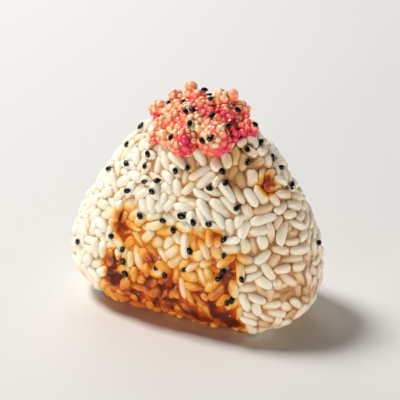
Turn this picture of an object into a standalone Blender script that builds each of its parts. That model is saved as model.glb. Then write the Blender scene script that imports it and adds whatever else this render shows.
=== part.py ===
"""A rice ball with a heap of salted cod roe on its top.

A rounded triangle of cooked rice, pressed by hand and standing on its flat foot, with its broad
browned face towards -Y. Black sesame seeds lie on the rice and on the roe.
Metres, +Z up, with the middle of the foot at the origin.
"""
import math

import bmesh
import bpy
import numpy as np
from mathutils import Matrix, Vector
from mathutils.bvhtree import BVHTree

# The pressed ball is six faces round its rim and two broad ones, all blended into each other.
# Each rim face is given by its outward angle above level, in degrees, and its distance from the
# middle of the ball. The distances reach out to the tops of the grains.
MIDDLE_HEIGHT = 0.0256
RIM_FACES = (
    (-90.0, 0.0275),    # underside
    (209.5, 0.0465),    # lower left corner
    (146.7, 0.0372),    # left flank
    (90.0, 0.0467),     # top
    (31.4, 0.0424),     # right flank
    (-17.5, 0.0502),    # lower right corner
)
FRONT_LEAN = 6.7
FRONT_DISTANCE = 0.0244
BACK_LEAN = 4.8
BACK_DISTANCE = 0.0240
RIM_ROUNDING = 5.0      # a higher power draws the corners of the triangle tighter
EDGE_ROUNDING = 2.7     # the same for the edges between the rim and the broad faces

# Cooked short-grain rice
GRAIN_LENGTH = 0.0071
GRAIN_WIDTH = 0.0036
GRAIN_THICKNESS = 0.0032
GRAIN_SPREAD = 0.15     # strays of size, as a share of the mean
GRAIN_RISE = 0.0015     # the solid ball lies this far below the tops of the grains
GRAIN_SINK, GRAIN_LIFT = 0.0008, 0.0003     # how far each grain is pressed in or stands out
GRAIN_OVERLAP = 0.14    # how far neighbours lie over each other, as a share of their width
GRAIN_TILT = 9.0        # strays of tilt out of the surface, in degrees
GRAIN_FULLNESS = 1.35   # a pointed oval's widest rings are moved this much nearer to its ends
GRAINS_PACKED = 760     # cover the ball all over
GRAINS_SHOWN = 400      # the ones that stand out most, spread evenly, are solid here
GRAIN_SEED = 11
ROUNDS_OF_PUSHING = 80
RICE_TRIANGLES = 10300

# Black sesame seeds, each placed by its degrees round from the front and up from level, as seen
# from the middle of the ball or of the roe
SEED_LENGTH = 0.0027
SEED_WIDTH = 0.0020
SEED_THICKNESS = 0.0014
SEEDS_ON_RICE = (
    (-71, 65), (-69, 54), (-26, 61), (-47, 50), (-67, 37), (10, 58), (22, 60), (-20, 49),
    (-9, 52), (-35, 39), (-9, 45), (41, 47), (52, 47), (52, 53), (76, 57), (71, 52),
    (94, 56), (92, 48), (94, 42), (92, 33), (56, 34), (-19, 28), (2, 30), (19, 34),
    (28, 30), (39, 28), (12, 24), (-39, 6), (-61, -6), (47, 18), (97, 3), (-30, 0),
    (25, 10), (46, 9), (-29, -9), (-1, -9), (5, -13), (-25, -16), (22, -5), (45, -1),
    (43, -5), (53, -3), (46, -16), (49, -16), (-27, 56),
)
SEEDS_SPREAD = 48       # places all over the ball, of which the ones out of sight get a seed
BEHIND_FROM = 0.013     # Y past which those lie
BEHIND_LOWEST, BEHIND_HIGHEST = 0.008, 0.060
SEEDS_ON_ROE = (
    (-153, 75), (-168, 51), (63, 73), (-76, 36), (-68, 54), (-21, 48), (-6, 55), (43, 42),
    (7, 29), (59, 24), (93, 37), (87, 17), (-10, 10), (26, 11), (35, 14),
)
SEED_SEED = 5

# The heap of roe: lumps pressed together over the ball's top, each a centre and an outer radius
ROE_LUMPS = (
    (0.0040, 0.0000, 0.0650, 0.0092), (0.0106, 0.0005, 0.0650, 0.0078),     # the middle
    (-0.0035, -0.0005, 0.0655, 0.0070), (0.0045, -0.0070, 0.0646, 0.0068),
    (0.0110, -0.0060, 0.0648, 0.0064), (-0.0025, -0.0065, 0.0642, 0.0056),
    (0.0013, -0.0040, 0.0687, 0.0045), (0.0133, -0.0028, 0.0690, 0.0029),
    (0.0037, -0.0132, 0.0629, 0.0053), (0.0134, -0.0103, 0.0637, 0.0056),     # the front edge
    (-0.0020, -0.0081, 0.0671, 0.0035), (-0.0058, -0.0089, 0.0648, 0.0039),   # the left end
    (-0.0077, -0.0123, 0.0617, 0.0027), (-0.0041, -0.0122, 0.0623, 0.0031),
    (-0.0122, -0.0010, 0.0671, 0.0035),
    (-0.0068, 0.0010, 0.0713, 0.0031),
    (0.0168, -0.0055, 0.0646, 0.0030), (0.0199, 0.0000, 0.0656, 0.0036),      # the right end
    (0.0150, 0.0044, 0.0693, 0.0037),
    (-0.0040, 0.0070, 0.0658, 0.0054), (0.0030, 0.0086, 0.0662, 0.0058),      # the back
    (0.0100, 0.0086, 0.0658, 0.0054),
    (-0.0020, 0.0025, 0.0726, 0.0028), (0.0014, 0.0015, 0.0728, 0.0031),      # the crown
    (0.0090, 0.0025, 0.0731, 0.0035),
)
ROE_STANDING = (        # granules that stand up from the crown, each a centre and a radius
    (-0.0022, 0.0030, 0.0754, 0.0022), (0.0127, 0.0038, 0.0745, 0.0021),
)
ROE_MIDDLE = (0.0040, 0.0, 0.0620)
ROE_GRANULE = 0.0029
ROE_GRANULE_SPREAD = 0.20
ROE_GRANULE_SPACING = 0.0027
CRUST = 0.0005          # how far the granules stand out of the lumps
ROE_SEED = 3
ROE_TRIANGLES = 2650
GAP = 0.0003


def unit(vectors):
    """Each row of an array brought to length one."""
    return vectors / np.linalg.norm(vectors, axis=1)[:, None]


def fullness(points, inset):
    """1 on the ball's surface drawn in by inset, less inside it, more outside."""
    x, y, z = (points - (0.0, 0.0, MIDDLE_HEIGHT)).T
    rim = np.zeros(len(points))
    for angle, distance in RIM_FACES:
        turn = math.radians(angle)
        reach = (x * math.cos(turn) + z * math.sin(turn)) / (distance - inset)
        rim += np.maximum(reach, 0.0) ** RIM_ROUNDING
    front, back = math.radians(FRONT_LEAN), math.radians(BACK_LEAN)
    ahead = (z * math.sin(front) - y * math.cos(front)) / (FRONT_DISTANCE - inset)
    behind = (z * math.sin(back) + y * math.cos(back)) / (BACK_DISTANCE - inset)
    broad = np.maximum(np.maximum(ahead, behind), 0.0) ** EDGE_ROUNDING
    return (rim ** (EDGE_ROUNDING / RIM_ROUNDING) + broad) ** (1.0 / EDGE_ROUNDING)


def on_ball(points, inset=GRAIN_RISE):
    """Points moved straight out from the ball's middle, or in, to its surface."""
    middle = np.array((0.0, 0.0, MIDDLE_HEIGHT))
    return middle + (points - middle) / fullness(points, inset)[:, None]


def outward(points, inset=GRAIN_RISE):
    """The ball's outward directions at points on it."""
    step = 1e-6
    slopes = [fullness(points + step * axis, inset) - fullness(points - step * axis, inset)
              for axis in np.eye(3)]
    return unit(np.stack(slopes, axis=1))


def spread_evenly(count, lowest, chance):
    """Places all over the ball above a height, as far from each other as they fit."""
    middle = np.array((0.0, 0.0, MIDDLE_HEIGHT))
    ways = unit(chance.normal(size=(30000, 3)))
    places = on_ball(middle + ways * MIDDLE_HEIGHT)
    facing = np.abs((outward(places) * ways).sum(axis=1))
    area = ((places - middle) ** 2).sum(axis=1) / facing
    kept = (chance.random(len(places)) < area / area.max()) & (places[:, 2] > lowest)
    places = places[kept]
    chosen = [0]
    nearest = np.linalg.norm(places - places[0], axis=1)
    while len(chosen) < count:
        chosen.append(int(nearest.argmax()))
        nearest = np.minimum(nearest, np.linalg.norm(places - places[chosen[-1]], axis=1))
    return places[chosen]


def pack_grains():
    """Grains over the whole ball, pushed aside by each other until they lie side by side.

    Returns their centres, the ways they lie, their lengths, widths and thicknesses, and how far
    each stands out.
    """
    chance = np.random.default_rng(GRAIN_SEED)
    lowest = GRAIN_THICKNESS / 2
    centres = spread_evenly(GRAINS_PACKED, lowest, chance)
    strays = chance.normal(size=(3, GRAINS_PACKED)).clip(-2, 2)
    length = GRAIN_LENGTH * (1 + GRAIN_SPREAD * strays[0])
    width = GRAIN_WIDTH * (1 + 0.7 * GRAIN_SPREAD * strays[1])
    thickness = GRAIN_THICKNESS * (1 + 0.7 * GRAIN_SPREAD * strays[2])
    lies = chance.normal(size=(GRAINS_PACKED, 3))
    half = ((length - width) / 2)[:, None]
    for _ in range(ROUNDS_OF_PUSHING):
        up = outward(centres)
        lies = unit(lies - (lies * up).sum(axis=1)[:, None] * up)
        apart = np.linalg.norm(centres[:, None] - centres[None], axis=2)
        one, other = np.nonzero(np.triu(apart < 1.2 * GRAIN_LENGTH, 1))
        shift = np.zeros_like(centres)
        twist = np.zeros_like(centres)
        # each grain counts as three balls in a row
        for end_of_one in (-1, 0, 1):
            for end_of_other in (-1, 0, 1):
                arm = end_of_one * half[one] * lies[one]
                other_arm = end_of_other * half[other] * lies[other]
                across = centres[one] + arm - centres[other] - other_arm
                far = np.linalg.norm(across, axis=1) + 1e-9
                room = (1 - GRAIN_OVERLAP) * (width[one] + width[other]) / 2
                overlap = np.clip(room - far, 0, None)
                push = across * (0.25 * overlap / far)[:, None]
                np.add.at(shift, one, push)
                np.add.at(shift, other, -push)
                np.add.at(twist, one, np.cross(arm, push))
                np.add.at(twist, other, -np.cross(other_arm, push))
        centres = centres + 0.6 * shift
        centres[:, 2] = np.maximum(centres[:, 2], lowest)
        centres = on_ball(centres)
        lies = lies + np.cross(twist / (2 * half ** 2), lies)
    up = outward(centres)
    lies = unit(lies - (lies * up).sum(axis=1)[:, None] * up)
    tilt = np.radians(GRAIN_TILT) * chance.normal(size=GRAINS_PACKED).clip(-2, 2)[:, None]
    lies = lies * np.cos(tilt) + up * np.sin(tilt)
    rise = chance.uniform(-GRAIN_SINK, GRAIN_LIFT, GRAINS_PACKED)
    centres = centres + rise[:, None] * up
    centres[:, 2] = np.maximum(centres[:, 2], lowest)
    return centres, lies, length, width, thickness, rise


def most_prominent(centres, rises, count, allowed):
    """Numbers of the grains that stand out most, taken so that they cover the ball evenly."""
    order = [number for number in np.argsort(-rises) if allowed[number]]
    chosen = []
    rooms = np.linspace(0.0050, 0.0, 26)
    for room in rooms:
        for number in order:
            if len(chosen) == count:
                return chosen
            if number in chosen:
                continue
            if not chosen or np.linalg.norm(centres[chosen] - centres[number], axis=1).min() >= room:
                chosen.append(number)
    return chosen


def roe_granules():
    """Centres and radii of the granules that show on the heap."""
    chance = np.random.default_rng(ROE_SEED)
    lumps = np.array(ROE_LUMPS)
    places = []
    for centre, radius in zip(lumps[:, :3], lumps[:, 3]):
        places.append(centre + (radius - 0.4 * ROE_GRANULE) * unit(chance.normal(size=(1500, 3))))
    places = np.concatenate(places)
    inside = np.zeros(len(places), dtype=bool)
    for centre, radius in zip(lumps[:, :3], lumps[:, 3]):
        inside |= np.linalg.norm(places - centre, axis=1) < radius - 0.5 * ROE_GRANULE
    places = places[~inside & (fullness(places, 0.0) > 1.0)]
    standing = np.array(ROE_STANDING)
    nearest = np.full(len(places), np.inf)
    for centre in standing[:, :3]:
        nearest = np.minimum(nearest, np.linalg.norm(places - centre, axis=1))
    chosen = []
    while nearest.max() > ROE_GRANULE_SPACING:
        chosen.append(int(nearest.argmax()))
        nearest = np.minimum(nearest, np.linalg.norm(places - places[chosen[-1]], axis=1))
    strays = chance.normal(size=len(chosen)).clip(-1.6, 1.6)
    radii = ROE_GRANULE / 2 * (1 + ROE_GRANULE_SPREAD * strays)
    return np.concatenate((places[chosen], standing[:, :3])), np.concatenate((radii, standing[:, 3]))


def new_collection(name, helpers=False):
    """A collection in the scene, hidden from renders if it holds only helpers."""
    collection = bpy.data.collections.new(name)
    collection.hide_render = helpers
    bpy.context.scene.collection.children.link(collection)
    return collection


def food_material(name, colour, roughness):
    """A plain material of one colour, given as sRGB values from 0 to 1."""
    material = bpy.data.materials.new(name)
    material.use_nodes = True
    shader = material.node_tree.nodes["Principled BSDF"]
    linear = [((c + 0.055) / 1.055) ** 2.4 if c > 0.04045 else c / 12.92 for c in colour]
    shader.inputs["Base Color"].default_value = (*linear, 1.0)
    shader.inputs["Roughness"].default_value = roughness
    return material


def icosphere(name, subdivisions, collection, tips=False):
    """A unit icosphere in a collection, its X ends at two of its points if tips is set."""
    bpy.ops.mesh.primitive_ico_sphere_add(subdivisions=subdivisions, radius=1.0)
    ball = bpy.context.object
    ball.name = name
    for holder in list(ball.users_collection):
        holder.objects.unlink(ball)
    collection.objects.link(ball)
    if tips:
        ball.data.transform(Matrix.Rotation(math.pi / 2, 4, "Y"))
    return ball


def lay_pieces(pattern, frames, collection):
    """A copy of a pattern mesh in a collection for each frame, with its place in its mesh."""
    for frame in frames:
        mesh = pattern.copy()
        mesh.transform(frame)
        piece = bpy.data.objects.new(collection.name, mesh)
        piece.display_type = "WIRE"
        piece.hide_render = True
        collection.objects.link(piece)


def long_frame(centre, lie, up, length, width, thickness):
    """The transform that lays a unit ball down as a long grain or seed."""
    along = Vector(lie).normalized()
    side = Vector(up).cross(along).normalized()
    above = along.cross(side)
    turn = Matrix((along, side, above)).transposed().to_4x4()
    size = Matrix.Diagonal((length / 2, width / 2, thickness / 2, 1.0))
    return Matrix.Translation(Vector(centre)) @ turn @ size


def apply_modifiers(body):
    """Make a body's modifiers part of its mesh."""
    bpy.context.view_layer.objects.active = body
    for modifier in list(body.modifiers):
        bpy.ops.object.modifier_apply(modifier=modifier.name)


def boolean(body, operation, pieces):
    """Join a collection of pieces to a body, or cut them from it, then remove the pieces."""
    modifier = body.modifiers.new(operation, "BOOLEAN")
    modifier.operation = operation
    modifier.solver = "MANIFOLD"
    modifier.operand_type = "COLLECTION"
    modifier.collection = pieces
    apply_modifiers(body)
    for piece in list(pieces.objects):
        bpy.data.objects.remove(piece)
    bpy.data.collections.remove(pieces)


def thin_out(body, triangles):
    """Bring a body's mesh down to a number of triangles."""
    body.data.calc_loop_triangles()
    modifier = body.modifiers.new("fewer", "DECIMATE")
    modifier.ratio = min(1.0, triangles / len(body.data.loop_triangles))
    modifier.use_collapse_triangulate = True
    apply_modifiers(body)


def keep_main_body(body):
    """Drop loose scraps and fill sealed hollows, so that one closed body is left."""
    mesh = bmesh.new()
    mesh.from_mesh(body.data)
    waiting = set(mesh.verts)
    groups = []
    while waiting:
        group = {waiting.pop()}
        edge_of_group = list(group)
        while edge_of_group:
            vertex = edge_of_group.pop()
            for edge in vertex.link_edges:
                neighbour = edge.other_vert(vertex)
                if neighbour not in group:
                    group.add(neighbour)
                    edge_of_group.append(neighbour)
        waiting -= group
        groups.append(group)
    groups.sort(key=len)
    for group in groups[:-1]:
        bmesh.ops.delete(mesh, geom=list(group), context="VERTS")
    mesh.to_mesh(body.data)
    mesh.free()


def cut_foot(body):
    """Cut a body flat at z = 0."""
    floor = new_collection("floor_cutter", helpers=True)
    deep = 0.02
    bpy.ops.mesh.primitive_cube_add(size=1.0, location=(0.0, 0.0, -deep / 2))
    block = bpy.context.object
    block.scale = (0.2, 0.2, deep)
    bpy.ops.object.transform_apply(location=True, rotation=False, scale=True)
    for holder in list(block.users_collection):
        holder.objects.unlink(block)
    floor.objects.link(block)
    boolean(body, "DIFFERENCE", floor)


def directions(degrees):
    """Unit directions for pairs of degrees round from the front and up from level."""
    turn, rise = np.radians(np.array(degrees, dtype=float)).T
    return np.stack((np.sin(turn) * np.cos(rise), -np.cos(turn) * np.cos(rise), np.sin(rise)), axis=1)


def add_sesame(body, middle, ways, chance):
    """Fuse black seeds to a body where lines drawn in towards a middle point first meet it."""
    surface = BVHTree.FromPolygons([v.co for v in body.data.vertices],
                                   [face.vertices for face in body.data.polygons])
    outside = 0.08
    frames = []
    for way in ways:
        hit = Vector(surface.ray_cast(Vector(middle) + outside * Vector(way), -Vector(way))[0])
        up = Vector(outward(np.array([hit]))[0])
        lie = Vector(chance.normal(size=3))
        lie -= lie.dot(up) * up
        seat = hit + 0.15 * SEED_THICKNESS * up
        frames.append(long_frame(seat, lie, up, SEED_LENGTH, SEED_WIDTH, SEED_THICKNESS))
    seeds = new_collection("sesame_seeds", helpers=True)
    pattern = icosphere("seed_pattern", 1, seeds, tips=True)
    lay_pieces(pattern.data, frames, seeds)
    bpy.data.objects.remove(pattern)
    boolean(body, "UNION", seeds)
    keep_main_body(body)


def make_rice_ball(collection):
    """The pressed rice: a smooth core, the grains that show, a flat foot and the seeds."""
    core = icosphere("rice_ball", 4, collection)
    middle = np.array((0.0, 0.0, MIDDLE_HEIGHT))
    points = on_ball(middle + MIDDLE_HEIGHT * np.array([v.co for v in core.data.vertices]))
    points[:, 2] = np.maximum(points[:, 2], 0.0)
    core.data.vertices.foreach_set("co", points.ravel())

    centres, lies, length, width, thickness, rises = pack_grains()
    granules, radii = roe_granules()
    lumps = np.array(ROE_LUMPS)
    roe = np.concatenate((granules, lumps[:, :3]))
    reach = np.concatenate((radii, lumps[:, 3] - CRUST)) + GAP
    clear = np.ones(GRAINS_PACKED, dtype=bool)
    for share in (-0.95, -0.7, -0.35, 0.0, 0.35, 0.7, 0.95):
        points = centres + share * length[:, None] / 2 * lies
        half_width = width[:, None] / 2 * math.sqrt(1 - share ** 2)
        clear &= (np.linalg.norm(points[:, None] - roe[None], axis=2) > reach + half_width).all(axis=1)
    up = outward(centres)
    frames = [long_frame(centres[k], lies[k], up[k], length[k], width[k], thickness[k])
              for k in most_prominent(centres, rises, GRAINS_SHOWN, clear)]
    grains = new_collection("rice_grains", helpers=True)
    pattern = icosphere("grain_pattern", 1, grains, tips=True)
    for corner in pattern.data.vertices:
        if abs(corner.co.x) < 0.9:
            corner.co.x *= GRAIN_FULLNESS
    lay_pieces(pattern.data, frames, grains)
    bpy.data.objects.remove(pattern)
    boolean(core, "UNION", grains)

    chance = np.random.default_rng(SEED_SEED)
    around = spread_evenly(SEEDS_SPREAD, BEHIND_LOWEST, chance)
    unseen = (around[:, 1] > BEHIND_FROM) & (around[:, 2] < BEHIND_HIGHEST)
    ways = np.concatenate((directions(SEEDS_ON_RICE), unit(around[unseen] - middle)))
    add_sesame(core, middle, ways, chance)
    thin_out(core, RICE_TRIANGLES)
    cut_foot(core)
    return core


def make_roe_topping(collection):
    """The heap of roe: lumps with their granules and seeds, fitted over the solid ball."""
    heap = icosphere("roe_topping", 2, collection)
    frames = [Matrix.Translation(lump[:3]) @ Matrix.Scale(lump[3] - CRUST, 4) for lump in ROE_LUMPS]
    heap.data.transform(frames[0])
    lumps = new_collection("roe_lumps", helpers=True)
    pattern = icosphere("lump_pattern", 2, lumps)
    lay_pieces(pattern.data, frames[1:], lumps)
    bpy.data.objects.remove(pattern)
    pattern = icosphere("granule_pattern", 1, lumps)
    centres, radii = roe_granules()
    frames = [Matrix.Translation(c) @ Matrix.Scale(r, 4) for c, r in zip(centres, radii)]
    lay_pieces(pattern.data, frames, lumps)
    bpy.data.objects.remove(pattern)
    boolean(heap, "UNION", lumps)
    add_sesame(heap, ROE_MIDDLE, directions(SEEDS_ON_ROE), np.random.default_rng(SEED_SEED))
    thin_out(heap, ROE_TRIANGLES)

    seat = new_collection("roe_seat", helpers=True)
    ball = icosphere("ball_under_roe", 5, seat)
    points = np.array([v.co for v in ball.data.vertices]) * MIDDLE_HEIGHT
    points = on_ball(points + (0.0, 0.0, MIDDLE_HEIGHT), GRAIN_RISE - GAP)
    ball.data.vertices.foreach_set("co", points.ravel())
    boolean(heap, "DIFFERENCE", seat)
    keep_main_body(heap)
    return heap


for leftover in list(bpy.data.objects):
    bpy.data.objects.remove(leftover)
parts = new_collection("rice_ball_with_roe")
rice_ball = make_rice_ball(parts)
rice_ball.data.materials.append(food_material("cooked rice, pressed", (0.90, 0.86, 0.77), 0.5))
roe_topping = make_roe_topping(parts)
roe_topping.data.materials.append(food_material("cod roe, moist", (0.90, 0.50, 0.42), 0.3))
for body in (rice_ball, roe_topping):
    body.data.calc_loop_triangles()
    print(body.name, len(body.data.loop_triangles), "triangles")
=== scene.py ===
import math

import bmesh
import bpy
import numpy as np
from mathutils import Matrix, Vector, noise
from mathutils.bvhtree import BVHTree


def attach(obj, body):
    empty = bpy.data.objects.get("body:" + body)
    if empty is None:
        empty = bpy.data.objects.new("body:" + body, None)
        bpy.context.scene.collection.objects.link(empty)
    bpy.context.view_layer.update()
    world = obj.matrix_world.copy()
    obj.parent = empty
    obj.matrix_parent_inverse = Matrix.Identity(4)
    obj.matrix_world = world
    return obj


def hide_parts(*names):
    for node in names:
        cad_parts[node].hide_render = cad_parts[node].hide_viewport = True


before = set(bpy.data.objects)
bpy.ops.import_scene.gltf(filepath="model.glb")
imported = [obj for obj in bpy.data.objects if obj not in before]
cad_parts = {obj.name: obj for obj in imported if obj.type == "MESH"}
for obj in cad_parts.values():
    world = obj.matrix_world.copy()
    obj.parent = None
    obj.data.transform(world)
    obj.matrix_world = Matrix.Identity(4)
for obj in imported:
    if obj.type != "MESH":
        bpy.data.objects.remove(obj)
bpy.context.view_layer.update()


# The pressed ball of rice.
# Warm cooked rice squeezed in the hands into a rounded triangle that stands on its flat foot. This
# is the mass under the grains: it shows only in the gaps between them, and it is coloured dim tan
# there as painted shade.
MIDDLE = np.array((0.0, 0.0, 0.0256))
RIM_FACES = (           # outward angle above level in degrees, distance from the middle in metres
    (-90.0, 0.0275),    # underside
    (209.5, 0.0465),    # lower left corner
    (146.7, 0.0372),    # left flank
    (90.0, 0.0467),     # top
    (31.4, 0.0424),     # right flank
    (-17.5, 0.0502),    # lower right corner
)
FRONT_LEAN, FRONT_DISTANCE = math.radians(6.7), 0.0244
BACK_LEAN, BACK_DISTANCE = math.radians(4.8), 0.0240
RIM_ROUNDING, EDGE_ROUNDING = 5.0, 2.7      # 2 is fully round, more leaves flatter faces
GRAIN_RISE = 0.0015                         # the ball's surface above the middles of its grains
CORE_PROUD = 0.0001                         # this mass above the middles of the grains
CORE_BUMP_WIDTH, CORE_BUMP_HEIGHT = 0.003, 0.0003
CORE_FOOT = 0.0006                          # its underside above the table


def unit(vectors):
    """Each row of an array brought to length one."""
    return vectors / np.linalg.norm(vectors, axis=1)[:, None]


def fullness(points, inset=0.0):
    """1 on the ball's surface drawn in by inset, less inside it, more outside."""
    x, y, z = (points - MIDDLE).T
    rim = np.zeros(len(points))
    for angle, distance in RIM_FACES:
        turn = math.radians(angle)
        reach = (x * math.cos(turn) + z * math.sin(turn)) / (distance - inset)
        rim += np.maximum(reach, 0.0) ** RIM_ROUNDING
    ahead = (z * math.sin(FRONT_LEAN) - y * math.cos(FRONT_LEAN)) / (FRONT_DISTANCE - inset)
    behind = (z * math.sin(BACK_LEAN) + y * math.cos(BACK_LEAN)) / (BACK_DISTANCE - inset)
    broad = np.maximum(np.maximum(ahead, behind), 0.0) ** EDGE_ROUNDING
    return (rim ** (EDGE_ROUNDING / RIM_ROUNDING) + broad) ** (1.0 / EDGE_ROUNDING)


def on_ball(points):
    """Points moved straight out from the ball's middle, or in, to where its grains' middles lie."""
    return MIDDLE + (points - MIDDLE) / fullness(points, GRAIN_RISE)[:, None]


def outward(points):
    """The ball's outward directions at points where its grains' middles lie, or near there."""
    step = 1e-6
    slopes = [fullness(points + step * axis, GRAIN_RISE) - fullness(points - step * axis, GRAIN_RISE)
              for axis in np.eye(3)]
    return unit(np.stack(slopes, axis=1))


def bumps(points, size, shift=0.0):
    """Smooth noise about 0, its bumps about a size in metres across. Another shift gives others."""
    evenness, finer_by, octaves = 1.0, 2.0, 2
    return np.array([noise.fractal(Vector(point) / size, evenness, finer_by, octaves)
                     for point in points + shift])


def points_of(mesh):
    """The places of a mesh's vertices as an array."""
    flat = np.empty(3 * len(mesh.vertices))
    mesh.vertices.foreach_get("co", flat)
    return flat.reshape(-1, 3)


def round_ball(name, subdivisions):
    """A ball of even triangles about the rice ball's middle, with its place in its mesh."""
    bpy.ops.object.select_all(action="DESELECT")
    bpy.ops.mesh.primitive_ico_sphere_add(subdivisions=subdivisions, radius=MIDDLE[2], location=MIDDLE)
    ball = bpy.context.object
    ball.name = name
    bpy.ops.object.transform_apply(location=True, rotation=False, scale=False)
    return ball


rice_core = round_ball("rice_core", 6)
core_points = on_ball(points_of(rice_core.data))
core_up = outward(core_points)
core_rise = CORE_BUMP_HEIGHT * bumps(core_points, CORE_BUMP_WIDTH) + CORE_PROUD
core_points += core_up * core_rise[:, None]
core_points[:, 2] = np.maximum(core_points[:, 2], CORE_FOOT)
rice_core.data.vertices.foreach_set("co", core_points.ravel())

# Where the front was held to the heat and brushed with sauce: the outline of the patch on the broad
# face as (x, z) in metres, and the darker spots in it and beside it as place, radius and strength
PATCH = np.array((
    (-0.018, 0.040), (-0.013, 0.043), (-0.003, 0.041), (0.009, 0.040), (0.018, 0.038), (0.024, 0.034),
    (0.028, 0.027), (0.027, 0.016), (0.031, -0.004), (-0.032, -0.004), (-0.023, 0.013),
    (-0.021, 0.022), (-0.016, 0.027), (-0.019, 0.034),
))
SPOTS = (
    (-0.0170, -0.022, 0.0360, 0.0032, 0.58), (-0.0155, -0.023, 0.0315, 0.0035, 0.42),   # the left
    (-0.0188, -0.024, 0.0206, 0.0035, 0.55), (-0.0178, -0.024, 0.0150, 0.0035, 0.60),
    (-0.0133, -0.025, 0.0125, 0.0040, 0.50),
    (-0.0026, -0.025, 0.0249, 0.0028, 0.55), (0.0043, -0.025, 0.0185, 0.0040, 0.55),    # the middle
    (-0.0040, -0.025, 0.0165, 0.0040, 0.45),
    (0.0190, -0.022, 0.0366, 0.0028, 0.52), (0.0138, -0.023, 0.0359, 0.0025, 0.42),     # the right
    (0.0249, -0.022, 0.0290, 0.0050, 0.28), (0.0235, -0.023, 0.0200, 0.0050, 0.28),
    (0.0150, -0.024, 0.0150, 0.0050, 0.22),
    (-0.0100, -0.023, 0.0050, 0.0045, 0.45), (0.0022, -0.024, 0.0090, 0.0050, 0.52),    # the foot
    (0.0112, -0.024, 0.0070, 0.0045, 0.46), (0.0218, -0.024, 0.0095, 0.0045, 0.46),
    (0.0255, -0.022, 0.0040, 0.0040, 0.50),
    (0.0307, -0.007, 0.0510, 0.0028, 1.80),             # the burnt spot, alone high on the right
    (0.0200, -0.010, 0.0580, 0.0080, 0.12), (0.0095, -0.017, 0.0545, 0.0018, 0.40),     # by the roe
)
SPOT_SHARPNESS = 1.2                        # more makes the spots smaller and their edges steeper
PATCH_BEFORE, FAR_OUTSIDE = -0.006, -0.02   # all that lies behind this y counts as far outside it
PATCH_CREEP, PATCH_FADE = 0.0012, 0.0034    # how far it runs past its outline, and over what it thins
TOP_FADE, TOP_FROM, TOP_TO = 0.0040, 0.028, 0.040       # it thins over more along its top
PATCH_BEND, PATCH_STRAY = 0.006, 0.0021     # how long the bends of its edge are, and how far they go
FOOT_FROM, FOOT_TO = 0.024, 0.004           # between these heights sauce that ran down gathers
THIN_PLACE, THIN_RADIUS = (0.002, -0.024, 0.031), 0.010
SAUCE_MOTTLE, SCORCH_MOTTLE, TINT_SHADE_MOTTLE = 0.0045, 0.0030, 0.008
# where the roe's shadow on the rice below it is painted, with a little juice
ROE_SHADOW_PLACE, ROE_SHADOW_RADIUS = (0.014, -0.012, 0.053), 0.010


def smooth_step(low, high, values):
    """0 below low, 1 above high and a smooth rise between."""
    share = np.clip((values - low) / (high - low), 0.0, 1.0)
    return share * share * (3.0 - 2.0 * share)


def near(points, place, radius):
    """1 at a place, about a third at the radius and almost 0 at twice the radius."""
    return np.exp(-(np.linalg.norm(points - place, axis=1) / radius) ** 2)


def patch_depth(points):
    """How far inside the patch's outline points on the front lie, in metres; less than 0 outside."""
    flat = points[:, (0, 2)]
    nearest = np.full(len(points), np.inf)
    inside = np.zeros(len(points), dtype=bool)
    for start, end in zip(PATCH, np.roll(PATCH, -1, axis=0)):
        along = end - start
        share = np.clip(((flat - start) @ along) / (along @ along), 0.0, 1.0)
        nearest = np.minimum(nearest, np.linalg.norm(flat - start - share[:, None] * along, axis=1))
        crosses = (start[1] > flat[:, 1]) != (end[1] > flat[:, 1])
        level = start[0] + (flat[:, 1] - start[1]) * along[0] / (along[1] or 1e-9)
        inside ^= crosses & (flat[:, 0] < level)
    signed = np.where(inside, nearest, -nearest)
    return np.where(points[:, 1] < PATCH_BEFORE, signed, FAR_OUTSIDE)


def sauce(points):
    """How thick the sauce lies at points: 0 none, 0.5 amber, 1 dark brown."""
    within = patch_depth(points) + PATCH_STRAY * bumps(points, PATCH_BEND)
    fade = PATCH_FADE + TOP_FADE * smooth_step(TOP_FROM, TOP_TO, points[:, 2])
    cover = smooth_step(0.0, 1.0, (within + PATCH_CREEP) / fade)
    low = smooth_step(FOOT_FROM, FOOT_TO, points[:, 2])
    mottle = bumps(points, SAUCE_MOTTLE, shift=0.05)
    thin = near(points, THIN_PLACE, THIN_RADIUS)
    return np.clip(cover * (0.38 + 0.12 * low - 0.12 * thin + (0.22 + 0.15 * low) * mottle), 0.0, 1.0)


def scorch(points):
    """How burnt the rice is at points, from 0 to 1."""
    mottle = bumps(points, SCORCH_MOTTLE, shift=0.07)
    level = np.zeros(len(points))
    for *place, radius, strength in SPOTS:
        level += strength * near(points, place, radius) ** SPOT_SHARPNESS * (1.0 + 0.9 * mottle)
    return np.clip(level, 0.0, 1.0)


def gap_tint_and_shade(points):
    """How dark the gaps between grains are painted, from 0 to 1: mostly shade, with a little tint.

    They are palest on the lit left, darker on the right flank in shade and darkest in the roe's
    painted shadow below it.
    """
    facing = outward(points)
    # painted light and shade: the left faces the light and is painted paler, the right flank darker
    left = smooth_step(-0.2, -0.8, facing[:, 0])
    right = smooth_step(-0.1, 0.8, facing[:, 0]) * smooth_step(0.40, -0.30, facing[:, 1])
    # the shadow that the roe casts on the rice below it, painted in
    roe_shadow = near(points, ROE_SHADOW_PLACE, ROE_SHADOW_RADIUS)
    level = 0.15 + 0.46 * right + 0.75 * roe_shadow + 0.25 * bumps(points, TINT_SHADE_MOTTLE, shift=0.03)
    return np.clip(level - 0.06 * left, 0.0, 1.0)


def linear(code):
    """A hex sRGB colour as linear values with alpha."""
    values = [int(code[k:k + 2], 16) / 255 for k in (1, 3, 5)]
    return (*[((v + 0.055) / 1.055) ** 2.4 if v > 0.04045 else v / 12.92 for v in values], 1.0)


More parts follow.
